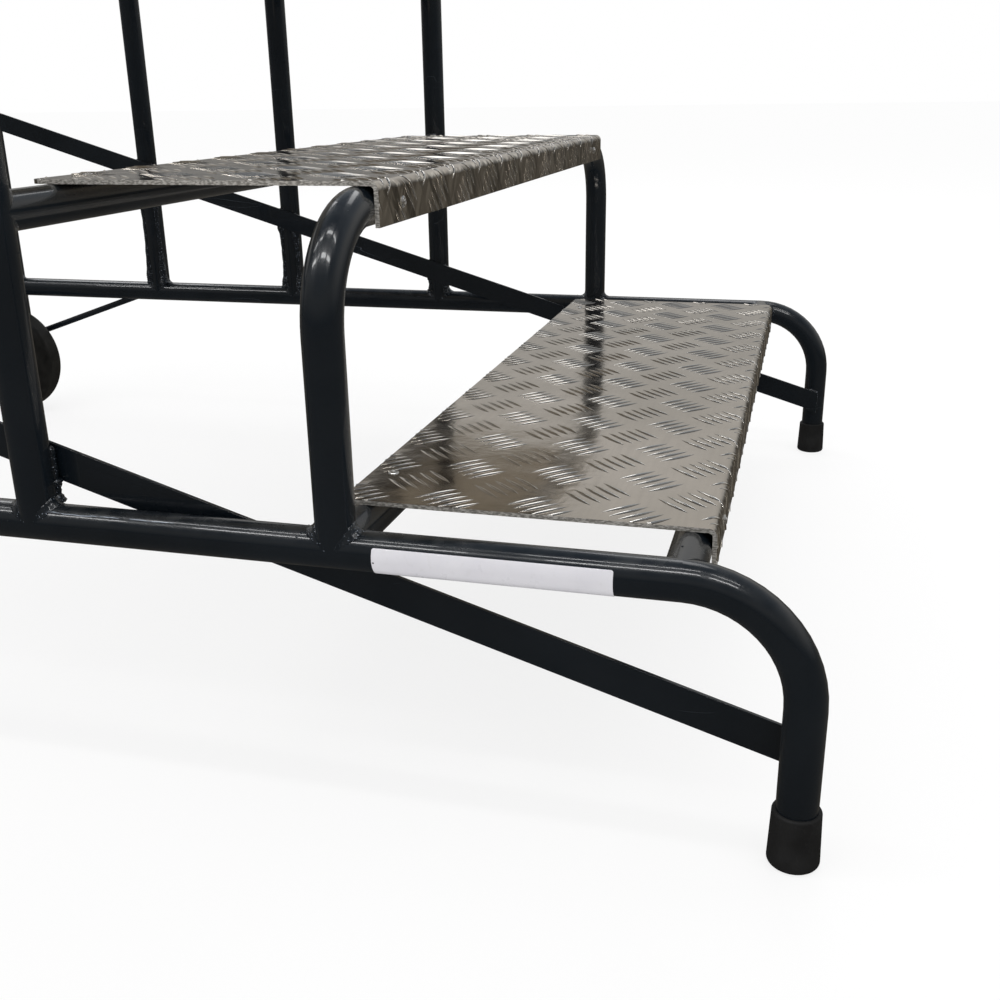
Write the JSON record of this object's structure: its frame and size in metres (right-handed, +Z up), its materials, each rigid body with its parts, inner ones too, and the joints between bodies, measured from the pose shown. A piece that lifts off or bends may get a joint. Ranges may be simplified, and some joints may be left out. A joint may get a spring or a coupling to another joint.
{
  "type": "library ladder",
  "caption": "Wide mobile library ladder: welded round-tube frame, folded chequer-plate treads, railed top platform, rubber front feet and fixed rear wheels.",
  "frame": {"origin": "on the floor, under the middle of the ladder's overall box", "axes": "+Z up; +Y rearwards, the way a person climbs; +X from the left side frame, which carries the label, to the right one"},
  "size_m": [0.957, 1.3289, 1.9914],
  "materials": {
    "frame_paint": "gloss anthracite blue-grey powder coat",
    "chequer_aluminium": "bright rolled five-bar plate",
    "rivet_aluminium": "plain blind rivet",
    "foot_rubber": "moulded black rubber",
    "tyre_rubber": "solid black rubber tyre",
    "wheel_plastic": "moulded black plastic",
    "bush_plastic": "plain bearing plastic",
    "zinc_steel": "bright zinc plate",
    "plug_plastic": "moulded black plastic",
    "label_vinyl": "blank white vinyl"
  },
  "bodies": {
    "frame": {"axle_bolt_left": "zinc_steel", "axle_bolt_right": "zinc_steel", "axle_boss_left": "frame_paint", "axle_boss_right": "frame_paint", "axle_nut_left": "zinc_steel", "axle_nut_right": "zinc_steel", "axle_washers_left": "zinc_steel", "axle_washers_right": "zinc_steel", "back_guard_rail": "frame_paint", "back_knee_rail": "frame_paint", "brace_left": "frame_paint", "brace_right": "frame_paint", "ferrule_left": "foot_rubber", "ferrule_right": "foot_rubber", "handrail_left": "frame_paint", "handrail_right": "frame_paint", "knee_rail_left": "frame_paint", "knee_rail_right": "frame_paint", "platform": "chequer_aluminium", "platform_front_tube": "frame_paint", "platform_rear_tube": "frame_paint", "platform_upright_left": "frame_paint", "platform_upright_right": "frame_paint", "post_plug_left": "plug_plastic", "post_plug_right": "plug_plastic", "rail_label": "label_vinyl", "side_frame_left": "frame_paint", "side_frame_right": "frame_paint", "step_2_hoop": "frame_paint", "step_4_hoop": "frame_paint", "tread_1": "chequer_aluminium", "tread_1_front_tube": "frame_paint", "tread_1_rear_tube": "frame_paint", "tread_2": "chequer_aluminium", "tread_2_rear_tube": "frame_paint", "tread_3": "chequer_aluminium", "tread_3_front_tube": "frame_paint", "tread_3_rear_tube": "frame_paint", "tread_4": "chequer_aluminium", "tread_4_rear_tube": "frame_paint", "tread_rivets": "rivet_aluminium", "wheel_stay_left": "frame_paint", "wheel_stay_right": "frame_paint"},
    "wheel_left": {"tyre_left": "tyre_rubber", "wheel_centre_left": "wheel_plastic", "wheel_bush_left": "bush_plastic"},
    "wheel_right": {"tyre_right": "tyre_rubber", "wheel_centre_right": "wheel_plastic", "wheel_bush_right": "bush_plastic"}
  },
  "joints": [
    {"name": "wheel_left_spin", "type": "hinge", "parent": "frame", "child": "wheel_left", "pos_m": [-0.413, 0.5845, 0.08], "axis": [1, 0, 0], "continuous": true},
    {"name": "wheel_right_spin", "type": "hinge", "parent": "frame", "child": "wheel_right", "pos_m": [0.413, 0.5845, 0.08], "axis": [1, 0, 0], "continuous": true}
  ]
}
